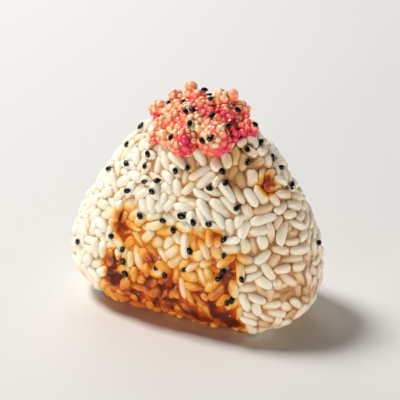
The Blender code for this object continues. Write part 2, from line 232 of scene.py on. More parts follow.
def add_node(tree, kind, inputs=(), stops=(), **settings):
    """Add a shader node. inputs gives each input a socket to read or a value to hold."""
    made = tree.nodes.new(kind)
    for name, value in settings.items():
        setattr(made, name, value)
    for name, source in dict(inputs).items():
        if isinstance(source, bpy.types.NodeSocket):
            tree.links.new(source, made.inputs[name])
        else:
            made.inputs[name].default_value = source
    for number, (place, code) in enumerate(stops):
        elements = made.color_ramp.elements
        element = elements[number] if number < 2 else elements.new(place)
        element.position = place
        element.color = linear(code)
    return made


def new_material(name, inputs):
    """A material with nodes, its tree and its Principled shader with what its inputs hold."""
    material = bpy.data.materials.new(name)
    material.use_nodes = True
    material.node_tree.nodes.clear()
    shader = add_node(material.node_tree, "ShaderNodeBsdfPrincipled", inputs)
    add_node(material.node_tree, "ShaderNodeOutputMaterial", {"Surface": shader.outputs[0]})
    return material, material.node_tree, shader


def set_floats(mesh, name, values):
    """Store one number for each vertex of a mesh."""
    made = mesh.attributes.new(name, "FLOAT", "POINT")
    made.data.foreach_set("value", np.asarray(values, dtype=np.float32))


def finished(piece, node, material):
    """Smooth a piece and coat it, fix it to the body and hide the part that it stands for."""
    piece.data.shade_smooth()
    piece.data.materials.append(material)
    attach(piece, "root")
    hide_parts(node)


# Cooked rice, short grain: pale and slightly see-through with a sticky film, so light goes a little
# way in. Toasted places turn from straw to amber and dark brown, mottled 1 mm wide. The gaps and
# the sunk grains are painted tan as painted shade, the darker the deeper a point lies.
STARCH_MOTTLE = 0.010 / 9       # nine to 10 mm
cooked_rice, tree, shader = new_material("cooked rice, pressed", {
    "Roughness": 0.42, "IOR": 1.40, "Subsurface Weight": 0.60, "Subsurface Scale": 0.0008,
    "Subsurface Radius": (1.0, 0.72, 0.45), "Coat Weight": 0.14, "Coat Roughness": 0.25})
gap_shade = add_node(tree, "ShaderNodeAttribute", attribute_name="gap_shade")
toasted = add_node(tree, "ShaderNodeAttribute", attribute_name="toast")
own = add_node(tree, "ShaderNodeAttribute", attribute_name="own")
place = add_node(tree, "ShaderNodeTexCoord")
fine = add_node(tree, "ShaderNodeTexNoise", {"Vector": place.outputs["Object"], "Detail": 3.0,
                                             "Scale": 1.0 / STARCH_MOTTLE, "Roughness": 0.6})
patchy = add_node(tree, "ShaderNodeMath", {0: fine.outputs["Fac"], 1: 0.22, 2: -0.11},
                  operation="MULTIPLY_ADD")
browned = add_node(tree, "ShaderNodeMath", {0: toasted.outputs["Fac"], 1: patchy.outputs[0]},
                   operation="ADD")
sauced = add_node(tree, "ShaderNodeMapRange", {"Value": toasted.outputs["Fac"], "From Min": 0.03,
                                               "From Max": 0.22})
shade = add_node(tree, "ShaderNodeMath", {0: own.outputs["Fac"], 1: 0.18, 2: gap_shade.outputs["Fac"]},
                 operation="MULTIPLY_ADD")
# white on the grains' tops, painted tan in the gaps and on sunk grains as painted shade
white = add_node(tree, "ShaderNodeValToRGB", {"Fac": shade.outputs[0]},
                 ((0.0, "#f5f2e7"), (0.34, "#efe4cc"), (0.62, "#e0bd90"), (1.0, "#bd8654")))
brown = add_node(tree, "ShaderNodeValToRGB", {"Fac": browned.outputs[0]},
                 ((0.0, "#f8d884"), (0.22, "#eeb142"), (0.42, "#da7a18"), (0.64, "#a84010"),
                  (0.90, "#561a08")))
colour = add_node(tree, "ShaderNodeMix", {"Factor": sauced.outputs[0], 6: white.outputs[0],
                                          7: brown.outputs[0]}, data_type="RGBA")
uneven = add_node(tree, "ShaderNodeBump", {"Height": fine.outputs["Fac"], "Strength": 0.25,
                                           "Distance": 0.00015})
tree.links.new(colour.outputs[2], shader.inputs["Base Color"])
tree.links.new(uneven.outputs[0], shader.inputs["Normal"])

set_floats(rice_core.data, "toast", sauce(core_points) + scorch(core_points))
# the core shows only in the gaps, so it carries their painted shade
set_floats(rice_core.data, "gap_shade", 0.75 + 0.25 * gap_tint_and_shade(core_points))
set_floats(rice_core.data, "own", np.full(len(core_points), 0.5))
finished(rice_core, "rice_ball", cooked_rice)


# The grains of rice.
# Plump short grains, each about 7 mm long, lying side by side over the whole ball, with more showing
# through the gaps from a layer beneath. Each is a low-sided oval bent a little its own way.
GRAIN_LENGTH, GRAIN_WIDTH, GRAIN_THICKNESS = 0.0071, 0.0036, 0.0032
GRAIN_SPREAD = 0.15                     # how much their lengths differ
SIDE_SPREAD = 0.7 * GRAIN_SPREAD        # how much their widths and thicknesses do
LARGEST_STRAY = 2.0                     # no grain differs by more than this many times as much
GRAIN_TILT = 9.0                        # how far in degrees they lie off level
GRAIN_OVERLAP = 0.14                    # how far neighbours lie over each other, of their width
GRAIN_SINK, GRAIN_LIFT = 0.0008, 0.0003
GRAINS_PACKED, PLACES_TRIED = 760, 30000
GRAIN_SEED, BENEATH_SEED = 11, 12
ROUNDS_OF_PUSHING = 80
GRAIN_SHAPES, GRAIN_SHAPE_SEED = 6, 21
TAPER, SIDE_BEND, DOWN_BEND, UP_BEND = 0.16, 0.25, 0.20, 0.10       # of half a grain's size
UNEVENNESS = 0.025
BENEATH_BY, BENEATH_SUNK = 0.0011, 0.8  # the layer beneath: how far down, and how sunk it counts
GRAIN_FOOT = 0.0001                     # the lowest grains are pressed flat this high
GRAIN_SHADE_SEED, BENEATH_SHADE_SEED = 31, 32
PALER_GRAINS = 0.40                     # the share that took up less sauce
SAUCE_ASTRAY = 0.0011                   # a grain is sauced as a place this far from it is
GAP_SHADE_FROM, GAP_SHADE_FULL = -0.0001, -0.0027     # the gaps' painted shade grows between these heights over the ball
FOOT_DARK_FROM, FOOT_DARK_FULL = 0.012, 0.002     # the foot soaks up sauce and darkens as painted shade between these heights
FOOT_DARK = 0.50                               # and browns all over by this share


def height_over_ball(points):
    """About how far points lie above the tops of the grains, in metres; less than 0 below them."""
    reach = np.linalg.norm(points - MIDDLE, axis=1)
    slant = (unit(points - MIDDLE) * outward(points)).sum(axis=1)
    return reach * (1.0 - 1.0 / fullness(points)) * slant


def far_apart(places, taken, spacing=0.0, most=math.inf):
    """Places chosen one by one, each the farthest from those taken and chosen before it.

    It ends when no place is left a spacing away from them, or when the most are chosen.
    """
    nearest = np.full(len(places), np.inf)
    for place in taken:
        nearest = np.minimum(nearest, np.linalg.norm(places - place, axis=1))
    chosen = []
    while nearest.max() > spacing and len(chosen) < most:
        chosen.append(int(nearest.argmax()))
        nearest = np.minimum(nearest, np.linalg.norm(places - places[chosen[-1]], axis=1))
    return places[chosen]


def spread_evenly(count, lowest, chance):
    """Places all over the ball above a height, as far from each other as they fit."""
    ways = unit(chance.normal(size=(PLACES_TRIED, 3)))
    places = on_ball(MIDDLE + ways * MIDDLE[2])
    facing = np.abs((outward(places) * ways).sum(axis=1))
    area = ((places - MIDDLE) ** 2).sum(axis=1) / facing
    kept = (chance.random(len(places)) < area / area.max()) & (places[:, 2] > lowest)
    places = places[kept]
    return np.concatenate((places[:1], far_apart(places, places[:1], most=count - 1)))


def laid_flat(lies, up):
    """Directions turned until they lie along the ball's surface."""
    return unit(lies - (lies * up).sum(axis=1)[:, None] * up)


def pack_grains(count, seed):
    """Grains over the whole ball, pushed aside by each other until they lie side by side.

    Gives their centres, the ways they lie, their lengths, widths and thicknesses, and their rises
    above the surface.
    """
    chance = np.random.default_rng(seed)
    lowest = GRAIN_THICKNESS / 2
    centres = spread_evenly(count, lowest, chance)
    strays = chance.normal(size=(3, count)).clip(-LARGEST_STRAY, LARGEST_STRAY)
    length = GRAIN_LENGTH * (1 + GRAIN_SPREAD * strays[0])
    width = GRAIN_WIDTH * (1 + SIDE_SPREAD * strays[1])
    thickness = GRAIN_THICKNESS * (1 + SIDE_SPREAD * strays[2])
    lies = chance.normal(size=(count, 3))
    half = ((length - width) / 2)[:, None]
    touching = 1.2 * GRAIN_LENGTH
    push_share, step_share = 0.25, 0.6
    for _ in range(ROUNDS_OF_PUSHING):
        lies = laid_flat(lies, outward(centres))
        apart = np.linalg.norm(centres[:, None] - centres[None], axis=2)
        one, other = np.nonzero(np.triu(apart < touching, 1))
        shift = np.zeros_like(centres)
        twist = np.zeros_like(centres)
        # each grain counts as three balls in a row
        for end_of_one in (-1, 0, 1):
            for end_of_other in (-1, 0, 1):
                arm = end_of_one * half[one] * lies[one]
                other_arm = end_of_other * half[other] * lies[other]
                across = centres[one] + arm - centres[other] - other_arm
                far = np.linalg.norm(across, axis=1) + 1e-9
                room = (1 - GRAIN_OVERLAP) * (width[one] + width[other]) / 2
                overlap = np.clip(room - far, 0, None)
                push = across * (push_share * overlap / far)[:, None]
                np.add.at(shift, one, push)
                np.add.at(shift, other, -push)
                np.add.at(twist, one, np.cross(arm, push))
                np.add.at(twist, other, -np.cross(other_arm, push))
        centres = centres + step_share * shift
        centres[:, 2] = np.maximum(centres[:, 2], lowest)
        centres = on_ball(centres)
        lies = lies + np.cross(twist / (2 * half ** 2), lies)
    up = outward(centres)
    lies = laid_flat(lies, up)
    tilt_strays = chance.normal(size=count).clip(-LARGEST_STRAY, LARGEST_STRAY)
    tilt = np.radians(GRAIN_TILT) * tilt_strays[:, None]
    lies = lies * np.cos(tilt) + up * np.sin(tilt)
    rise = chance.uniform(-GRAIN_SINK, GRAIN_LIFT, count)
    centres = centres + rise[:, None] * up
    centres[:, 2] = np.maximum(centres[:, 2], lowest)
    return centres, lies, length, width, thickness, rise


def low_ball(segments, rings, turn):
    """The mesh of a ball of radius 1 with few sides, turned by angles about X, Y and Z."""
    bpy.ops.object.select_all(action="DESELECT")
    bpy.ops.mesh.primitive_uv_sphere_add(segments=segments, ring_count=rings, radius=1.0, rotation=turn)
    ball = bpy.context.object
    bpy.ops.object.transform_apply(location=False, rotation=True, scale=False)
    mesh = ball.data
    bpy.data.objects.remove(ball)
    return mesh


def long_oval():
    """The mesh of a low-sided ball with its poles at the ends of X, for a grain or a seed."""
    return low_ball(8, 7, (0.0, math.pi / 2, 0.0))


def grain_patterns(count, seed):
    """Long oval meshes of half-size 1 in each direction, each bent and tapered its own way."""
    chance = np.random.default_rng(seed)
    patterns = [long_oval() for _ in range(count)]
    for mesh in patterns:
        points = points_of(mesh)
        x = points[:, 0].copy()
        # blunter ends than a ball's, except at the poles themselves
        fuller = (1.0 - x ** 4) ** 0.5 / np.maximum((1.0 - x ** 2) ** 0.5, 1e-3)
        fuller[np.abs(x) > 0.999] = 0.0
        taper = 1.0 + chance.uniform(-TAPER, TAPER) * x
        points[:, 1:] *= (fuller ** 0.7 * taper)[:, None]
        # bent one way at the middle and the other way at the ends
        bow = 0.45 - x ** 2
        points[:, 1] += chance.uniform(-SIDE_BEND, SIDE_BEND) * bow
        points[:, 2] += chance.uniform(-DOWN_BEND, UP_BEND) * bow
        points += UNEVENNESS * chance.normal(size=points.shape)
        mesh.vertices.foreach_set("co", points.ravel())
    return patterns


def lay_out(name, patterns, frames):
    """One mesh object from a copy of a pattern for each frame, and the copy of each vertex."""
    corners = [points_of(mesh) for mesh in patterns]
    faces = [[tuple(face.vertices) for face in mesh.polygons] for mesh in patterns]
    points, polygons, owner = [], [], []
    start = 0
    for number, placing in enumerate(frames):
        kind = number % len(patterns)
        turn = np.array(placing)
        points.append(corners[kind] @ turn[:3, :3].T + turn[:3, 3])
        polygons += [tuple(start + corner for corner in face) for face in faces[kind]]
        owner.append(np.full(len(corners[kind]), number))
        start += len(corners[kind])
    mesh = bpy.data.meshes.new(name)
    mesh.from_pydata(np.concatenate(points), [], polygons)
    piece = bpy.data.objects.new(name, mesh)
    bpy.context.scene.collection.objects.link(piece)
    return piece, np.concatenate(owner)


def long_frame(centre, lie, up, length, width, thickness):
    """The transform that lays a unit oval down as a long grain or seed."""
    along = Vector(lie).normalized()
    side = Vector(up).cross(along).normalized()
    above = along.cross(side)
    turn = Matrix((along, side, above)).transposed().to_4x4()
    size = Matrix.Diagonal((length / 2, width / 2, thickness / 2, 1.0))
    return Matrix.Translation(Vector(centre)) @ turn @ size


def grain_layer(name, seed, below):
    """A layer of packed grains, moved in by so much: its piece, each vertex's grain and the rises."""
    centres, lies, lengths, widths, thicknesses, rises = pack_grains(GRAINS_PACKED, seed)
    ups = outward(centres)
    centres -= below * ups
    frames = [long_frame(*row) for row in zip(centres, lies, ups, lengths, widths, thicknesses)]
    return *lay_out(name, grain_meshes, frames), rises


def finish_grains(piece, owner, seed, sunk):
    """Press a piece's grains flat on the foot and give each its shade, its painted gap shade and
    browning.
    """
    chance = np.random.default_rng(seed)
    points = points_of(piece.data)
    points[:, 2] = np.maximum(points[:, 2], GRAIN_FOOT)
    piece.data.vertices.foreach_set("co", points.ravel())
    own = chance.random(owner.max() + 1)
    deep = smooth_step(GAP_SHADE_FROM, GAP_SHADE_FULL, height_over_ball(points))
    tint_shade = gap_tint_and_shade(points)
    # painted shade: darker down in the gaps and on sunk grains, most on the right flank in shade
    gap_shade = deep + np.clip(1.1 * tint_shade - 0.22, 0.04, 0.4) * sunk[owner] ** 2
    gap_shade = gap_shade * (0.54 + 0.90 * tint_shade) + 0.14 * tint_shade
    # sauce browns the sides of a grain and the sunk grains most, and along the foot it browns all;
    # both are partly painted shade
    paler = np.where(own < PALER_GRAINS, 0.40 + 0.9 * own, 1.0)
    sauce_and_shade = 0.42 + 1.15 * (deep + 0.12 * sunk[owner])
    foot_dark = FOOT_DARK * smooth_step(FOOT_DARK_FROM, FOOT_DARK_FULL, points[:, 2])
    astray = SAUCE_ASTRAY * chance.normal(size=(owner.max() + 1, 3))
    browning = sauce(points + astray[owner]) * (paler[owner] * sauce_and_shade * (1 - foot_dark) + foot_dark)
    browning += scorch(points) * (0.4 + 0.6 * paler[owner])
    set_floats(piece.data, "own", own[owner])
    set_floats(piece.data, "toast", browning)
    set_floats(piece.data, "gap_shade", gap_shade)
    finished(piece, "rice_ball", cooked_rice)


grain_meshes = grain_patterns(GRAIN_SHAPES, GRAIN_SHAPE_SEED)
rice_grains, owners, rises = grain_layer("rice_grains", GRAIN_SEED, 0.0)
finish_grains(rice_grains, owners, GRAIN_SHADE_SEED, (GRAIN_LIFT - rises) / (GRAIN_LIFT + GRAIN_SINK))
grains_beneath, owners, rises = grain_layer("rice_grains_beneath", BENEATH_SEED, BENEATH_BY)
finish_grains(grains_beneath, owners, BENEATH_SHADE_SEED, np.full(GRAINS_PACKED, BENEATH_SUNK))


# The sauce on the browned front.
# Thin soy sauce brushed on before the heat, dried to a shiny amber film that fills the gaps between
# the grains and darkens to brown along the foot. Its edge runs in under the white grains.
FILM_MARGIN = 0.002                     # how far it runs on past the patch
FILM_FOOT, FILM_LOWEST = 0.001, 0.0002  # it ends this high on the ball, and lies no lower
FILM_EDGE = -0.0008                     # its level at its edge, over the middles of the grains
FILM_FILL, FILM_POOL = 0.0012, 0.0006   # how far sauce fills the gaps, and pools where it is thick
RUN_WIDTH, RUN_HEIGHT = 0.0028, 0.0003  # the runs in it

sauce_film = round_ball("sauce_film", 7)
film = bmesh.new()
film.from_mesh(sauce_film.data)
film_points = on_ball(np.array([v.co for v in film.verts]))
outside = (patch_depth(film_points) < -FILM_MARGIN) | (film_points[:, 2] < FILM_FOOT)
bmesh.ops.delete(film, geom=[v for v, out in zip(film.verts, outside) if out], context="VERTS")
film.to_mesh(sauce_film.data)
film.free()
film_points = on_ball(points_of(sauce_film.data))
film_toast = sauce(film_points) + scorch(film_points)
film_level = FILM_FILL * smooth_step(0.05, 0.4, film_toast)
film_level += FILM_POOL * smooth_step(0.40, 0.75, film_toast)
film_level += RUN_HEIGHT * bumps(film_points, RUN_WIDTH)
film_points += outward(film_points) * (film_level + FILM_EDGE)[:, None]
film_points[:, 2] = np.maximum(film_points[:, 2], FILM_LOWEST)
sauce_film.data.vertices.foreach_set("co", film_points.ravel())
set_floats(sauce_film.data, "toast", film_toast)

# Soy sauce dried and caramelised by heat: see-through amber over the rice where it is thin, dark
# brown where it is thick, and always shiny. It dried in ripples 2 mm wide.
RIPPLE = 0.020 / 9              # nine to 20 mm
dried_sauce, tree, shader = new_material("soy sauce, dried to a shiny film", {
    "Roughness": 0.24, "IOR": 1.36, "Specular IOR Level": 0.25, "Subsurface Weight": 0.25,
    "Subsurface Radius": (1.0, 0.45, 0.18), "Subsurface Scale": 0.0006})
toasted = add_node(tree, "ShaderNodeAttribute", attribute_name="toast")
place = add_node(tree, "ShaderNodeTexCoord")
ripples = add_node(tree, "ShaderNodeTexNoise", {"Vector": place.outputs["Object"], "Detail": 3.0,
                                                "Scale": 1.0 / RIPPLE, "Roughness": 0.55})
thickness = add_node(tree, "ShaderNodeMath", {0: ripples.outputs["Fac"], 1: 0.36,
                                              2: toasted.outputs["Fac"]}, operation="MULTIPLY_ADD")
amber = add_node(tree, "ShaderNodeValToRGB", {"Fac": thickness.outputs[0]},
                 ((0.28, "#f2b63e"), (0.48, "#e88e16"), (0.66, "#c8540e"), (0.86, "#96360c"),
                  (1.0, "#561c0a")))
rippled = add_node(tree, "ShaderNodeBump", {"Height": ripples.outputs["Fac"], "Strength": 0.4,
                                            "Distance": 0.0003})
tree.links.new(amber.outputs[0], shader.inputs["Base Color"])
tree.links.new(rippled.outputs[0], shader.inputs["Normal"])
finished(sauce_film, "rice_ball", dried_sauce)


# The black sesame seeds on the rice.
# Flat teardrops 2.7 mm long, scattered by hand, which stick to the moist grains that they land on.
# Each is placed by its degrees round from the front and up from level, as seen from the middle.
SEED_LENGTH, SEED_WIDTH, SEED_THICKNESS = 0.0027, 0.0020, 0.0014
SEED_VARIES = 0.08                      # how much their sizes differ
SEED_GIRTH, GIRTH_VARIES = 0.92, 0.04   # at the middle of its length, as a share of its width
SEED_NARROWS = 0.30                     # how much thinner it is at the tip than at its middle
SEED_FORWARD = 0.12                     # how far its middle is drawn towards the tip
SEED_PROUD = 0.4                        # how far its middle lies above the grain, of its thickness
SEEDS_ON_RICE = (
    (-71, 65), (-69, 54), (-26, 61), (-47, 50), (-67, 37), (10, 58), (22, 60), (-20, 49),
    (-9, 52), (-35, 39), (-9, 45), (41, 47), (52, 47), (52, 53), (76, 57), (71, 52),
    (94, 56), (92, 48), (94, 42), (92, 33), (56, 34), (-19, 28), (2, 30), (19, 34),
    (28, 30), (39, 28), (12, 24), (-39, 6), (-61, -6), (47, 18), (97, 3), (-30, 0),
    (25, 10), (46, 9), (-29, -9), (-1, -9), (5, -13), (-25, -16), (22, -5), (45, -1),
    (43, -5), (53, -3), (46, -16), (49, -16), (-27, 56),
)
SEEDS_SPREAD = 48       # places all over the ball, of which the ones round the back get a seed
BEHIND_FROM, BEHIND_LOWEST, BEHIND_HIGHEST = 0.013, 0.008, 0.060    # beyond this y, at these heights
SEED_SEED = 5
SEED_SHAPES, SEED_SHAPE_SEED = 4, 41
WELL_OUTSIDE = 0.08     # how far out the lines start along which seeds land


def directions(degrees):
    """Unit directions for pairs of degrees round from the front and up from level."""
    turn, rise = np.radians(np.array(degrees, dtype=float)).T
    return np.stack((np.sin(turn) * np.cos(rise), -np.cos(turn) * np.cos(rise), np.sin(rise)), axis=1)


def seed_patterns(count, seed):
    """Teardrops of half-size 1 in each direction, round at one end and drawn to a tip at the other."""
    chance = np.random.default_rng(seed)
    patterns = [long_oval() for _ in range(count)]
    for mesh in patterns:
        points = points_of(mesh)
        girth = SEED_GIRTH - SEED_NARROWS * points[:, 0] + GIRTH_VARIES * chance.normal()
        points[:, 1:] *= girth[:, None]
        points[:, 0] += SEED_FORWARD * (1.0 - points[:, 0] ** 2)
        mesh.vertices.foreach_set("co", points.ravel())
    return patterns


def scatter_seeds(name, landed_on, middle, ways, chance):
    """Lay seeds where lines drawn in towards a middle point first meet the pieces."""
    corners, faces = [], []
    start = 0
    for piece in landed_on:
        corners += [v.co for v in piece.data.vertices]
        faces += [[start + k for k in face.vertices] for face in piece.data.polygons]
        start = len(corners)
    surface = BVHTree.FromPolygons(corners, faces)
    frames = []
    for way in ways:
        hit, facing = surface.ray_cast(Vector(middle) + WELL_OUTSIDE * Vector(way), -Vector(way))[:2]
        up = (facing + Vector(outward(np.array([hit]))[0])).normalized()
        lie = Vector(chance.normal(size=3))
        lie -= lie.dot(up) * up
        size = 1.0 + SEED_VARIES * chance.normal()
        centre = hit + SEED_PROUD * SEED_THICKNESS * up
        frames.append(long_frame(centre, lie, up, size * SEED_LENGTH, size * SEED_WIDTH,
                                 SEED_THICKNESS))
    return lay_out(name, seed_meshes, frames)[0]


seed_meshes = seed_patterns(SEED_SHAPES, SEED_SHAPE_SEED)
seed_chance = np.random.default_rng(SEED_SEED)
seed_places = spread_evenly(SEEDS_SPREAD, BEHIND_LOWEST, seed_chance)
at_the_back = (seed_places[:, 1] > BEHIND_FROM) & (seed_places[:, 2] < BEHIND_HIGHEST)
seed_ways = np.concatenate((directions(SEEDS_ON_RICE), unit(seed_places[at_the_back] - MIDDLE)))
seeds_on_rice = scatter_seeds("sesame_seeds_on_rice", (rice_core, rice_grains, grains_beneath),
                              MIDDLE, seed_ways, seed_chance)

# Black sesame: a thin hard hull, near black with a trace of brown, that shines softly along its
# ridge. The fine pitting of the hull is about 0.15 mm.
HULL_PIT = 0.002 / 13           # thirteen to 2 mm
sesame, tree, shader = new_material("black sesame hull", {"Roughness": 0.17, "IOR": 1.45})
place = add_node(tree, "ShaderNodeTexCoord")
pits = add_node(tree, "ShaderNodeTexNoise", {"Vector": place.outputs["Object"],
                                             "Scale": 1.0 / HULL_PIT, "Detail": 2.0})
hull = add_node(tree, "ShaderNodeValToRGB", {"Fac": pits.outputs["Fac"]},
                ((0.3, "#030303"), (0.75, "#0d0b0a")))
pitted = add_node(tree, "ShaderNodeBump", {"Height": pits.outputs["Fac"], "Strength": 0.15,
                                           "Distance": 0.0001})
tree.links.new(hull.outputs[0], shader.inputs["Base Color"])
tree.links.new(pitted.outputs[0], shader.inputs["Normal"])
finished(seeds_on_rice, "rice_ball", sesame)


# The roe on the top.
# Salted cod roe spooned over the ball's crown in moist lumps. This is the soft red paste that holds
# the eggs together and shows between them.
ROE_LUMPS = (           # each a centre and a radius
    (0.0040, 0.0000, 0.0650, 0.0092), (0.0106, 0.0005, 0.0650, 0.0078),     # the middle
    (-0.0035, -0.0005, 0.0655, 0.0070), (0.0045, -0.0070, 0.0646, 0.0068),
    (0.0110, -0.0060, 0.0648, 0.0064), (-0.0025, -0.0065, 0.0642, 0.0056),
    (0.0013, -0.0040, 0.0687, 0.0045), (0.0133, -0.0028, 0.0690, 0.0029),
    (0.0037, -0.0132, 0.0629, 0.0053), (0.0134, -0.0103, 0.0637, 0.0056),     # the front edge
    (-0.0020, -0.0081, 0.0671, 0.0035), (-0.0058, -0.0089, 0.0648, 0.0039),   # the left end
    (-0.0077, -0.0123, 0.0617, 0.0027), (-0.0041, -0.0122, 0.0623, 0.0031),
    (-0.0122, -0.0010, 0.0671, 0.0035),
    (-0.0068, 0.0010, 0.0713, 0.0031),
    (0.0168, -0.0055, 0.0646, 0.0030), (0.0199, 0.0000, 0.0656, 0.0036),      # the right end
    (0.0150, 0.0044, 0.0693, 0.0037),
    (-0.0040, 0.0070, 0.0658, 0.0054), (0.0030, 0.0086, 0.0662, 0.0058),      # the back
    (0.0100, 0.0086, 0.0658, 0.0054),
    (-0.0020, 0.0025, 0.0726, 0.0028), (0.0014, 0.0015, 0.0728, 0.0031),      # the crown
    (0.0090, 0.0025, 0.0731, 0.0035),
)
ROE_TINT_AND_SHADE = (           # where the roe is painted redder, partly as shade, and paler where less than 0: place, radius, strength
    (0.0095, -0.0030, 0.0719, 0.0045, 0.65), (0.0124, -0.0042, 0.0714, 0.0035, 0.40),
    (0.0067, -0.0168, 0.0635, 0.0036, 0.65), (0.0184, -0.0079, 0.0655, 0.0038, 0.60),
    (0.0212, -0.0025, 0.0642, 0.0042, 0.75), (0.0172, -0.0141, 0.0618, 0.0030, 0.40),
    (0.0141, -0.0134, 0.0683, 0.0016, 0.45), (-0.0014, -0.0099, 0.0700, 0.0026, 0.35),
    (0.0045, -0.0025, 0.0738, 0.0028, 0.30), (0.0172, -0.0007, 0.0690, 0.0030, 0.50),
    (-0.0110, -0.0040, 0.0655, 0.0020, 0.40), (-0.0062, -0.0146, 0.0613, 0.0020, 0.45),
    (-0.0022, 0.0030, 0.0754, 0.0022, 0.55), (0.0127, 0.0038, 0.0745, 0.0024, 0.50),
    (0.0170, 0.0036, 0.0700, 0.0035, 0.22), (0.0095, 0.0000, 0.0755, 0.0040, -0.35),
)
PASTE_BELOW = 0.0006    # the paste's surface below the lumps' full size, so that granules stand out
PASTE_GRID = 0.0006     # the lumps are merged into one skin on a grid this fine
ROE_MOTTLE = 0.0040
HOLLOW_FROM, HOLLOW_FULL = 0.0014, 0.0002   # how near a second lump is where the roe is painted redder as shade
lump_places, lump_sizes = np.array(ROE_LUMPS)[:, :3], np.array(ROE_LUMPS)[:, 3]


def over_lumps(points):
    """How far points lie outside each lump of roe, in metres; less than 0 inside it."""
    return np.linalg.norm(points[:, None] - lump_places[None], axis=2) - lump_sizes


def roe_red_and_shade(points):
    """From 0, peach, on the tops of the lumps to 1, crimson, painted as shade on their undersides and
    between them.
    """
    far = over_lumps(points)
    nearest = far.argmin(axis=1)
    second = np.partition(far, 1, axis=1)[:, 1] - far.min(axis=1)
    slope = unit(points - lump_places[nearest])
    # painted shade: redder on sides that face down and to the right, away from the light, and in
    # hollows
    under = smooth_step(0.15, -0.75, slope[:, 2] - 0.25 * slope[:, 0])
    hollow_shade = smooth_step(HOLLOW_FROM, HOLLOW_FULL, second)
    level = 0.06 + 0.35 * under + 0.25 * hollow_shade + 0.40 * bumps(points, ROE_MOTTLE, shift=0.02)
    for *place, radius, strength in ROE_TINT_AND_SHADE:
        level += strength * near(points, place, radius)
    return np.clip(level, 0.0, 1.0)


bpy.ops.object.select_all(action="DESELECT")
bpy.ops.mesh.primitive_ico_sphere_add(subdivisions=3, radius=1.0)
lump = bpy.context.object
lump_frames = [Matrix.Translation(place) @ Matrix.Scale(size - PASTE_BELOW, 4)
               for place, size in zip(lump_places, lump_sizes)]
roe_paste = lay_out("roe_paste", [lump.data], lump_frames)[0]
bpy.data.objects.remove(lump)
bpy.context.view_layer.objects.active = roe_paste
merged = roe_paste.modifiers.new("merged", "REMESH")
merged.mode = "VOXEL"
merged.voxel_size = PASTE_GRID
bpy.ops.object.modifier_apply(modifier="merged")
paste_points = points_of(roe_paste.data)
set_floats(roe_paste.data, "red", 0.32 + 0.66 * roe_red_and_shade(paste_points))

# Cod roe, salted and moist: see-through eggs 0.8 mm apart stuck together in granules. Light goes
# deep into them. The tops of the lumps are peach, and their undersides and the hollows between them
# are painted coral to crimson as shade, all under a wet shine.
EGG = 0.010 / 13                # thirteen to 10 mm
moist_roe, tree, shader = new_material("cod roe, salted and moist", {
    "Roughness": 0.30, "IOR": 1.40, "Subsurface Weight": 0.80, "Subsurface Scale": 0.0006,
    "Subsurface Radius": (1.0, 0.55, 0.35), "Coat Weight": 0.35, "Coat Roughness": 0.15})
red = add_node(tree, "ShaderNodeAttribute", attribute_name="red")
place = add_node(tree, "ShaderNodeTexCoord")
eggs = add_node(tree, "ShaderNodeTexVoronoi", {"Vector": place.outputs["Object"], "Scale": 1.0 / EGG})
mottled = add_node(tree, "ShaderNodeMath", {0: eggs.outputs["Distance"], 1: 0.16,
                                            2: red.outputs["Fac"]}, operation="MULTIPLY_ADD")
flesh = add_node(tree, "ShaderNodeValToRGB", {"Fac": mottled.outputs[0]},
                 ((0.03, "#ffe8cc"), (0.26, "#ffc89a"), (0.50, "#fe9068"), (0.76, "#f64e66"),
                  (1.0, "#da2c58")))
egg_tops = add_node(tree, "ShaderNodeBump", {"Height": eggs.outputs["Distance"], "Strength": 0.35,
                                             "Distance": 0.0002}, invert=True)
tree.links.new(flesh.outputs[0], shader.inputs["Base Color"])
tree.links.new(egg_tops.outputs[0], shader.inputs["Normal"])
finished(roe_paste, "roe_topping", moist_roe)


# The granules of roe.
# Rounded clusters of eggs 2.8 mm across, packed over the lumps, with smaller ones of 2.2 mm in
# between and two that stand up from the crown.
ROE_STANDING = np.array((       # each a centre and a radius
    (-0.0022, 0.0030, 0.0754, 0.0022), (0.0127, 0.0038, 0.0745, 0.0021),
))
LARGE, LARGE_SHOWING, LARGE_SPACING, LARGE_SEED = 0.0028, 0.0008, 0.0022, 3
SMALL, SMALL_SHOWING, SMALL_SPACING, SMALL_SEED = 0.0022, 0.0006, 0.0015, 4
GRANULE_SPREAD = 0.12           # how much their sizes differ
LARGEST_GRANULE_STRAY = 1.6     # none differs by more than this many times as much
PLACES_ON_A_LUMP = 1500
SEAM = 0.0002                   # a granule may lie this much deeper in another lump than in its own
RIM_SHADE_FROM, RIM_SHADE_FULL = -0.0001, -0.0006       # a granule's edges are painted redder as shade between these heights over lumps
GRANULE_SHAPES, GRANULE_SHAPE_SEED, GRANULE_SHADE_SEED = 5, 51, 52
OUT_OF_ROUND, GRANULE_UNEVENNESS = 0.10, 0.02


def roe_granules(size, showing, spacing, seed, earlier):
    """Centres and radii of granules over the lumps, kept a spacing away from each other.

    Each shows by so much above the paste, and keeps the same spacing from the earlier ones, which
    come last in what is given back.
    """
    chance = np.random.default_rng(seed)
    sunk = size / 2 - showing + PASTE_BELOW
    places = np.concatenate([centre + (radius - sunk) * unit(chance.normal(size=(PLACES_ON_A_LUMP, 3)))
                             for centre, radius in zip(lump_places, lump_sizes)])
    inside = (over_lumps(places) < -sunk - SEAM).any(axis=1)
    places = places[~inside & (fullness(places) > 1.0)]
    chosen = far_apart(places, earlier[:, :3], spacing)
    strays = chance.normal(size=len(chosen)).clip(-LARGEST_GRANULE_STRAY, LARGEST_GRANULE_STRAY)
    radii = size / 2 * (1 + GRANULE_SPREAD * strays)
    return np.concatenate((np.column_stack((chosen, radii)), earlier))


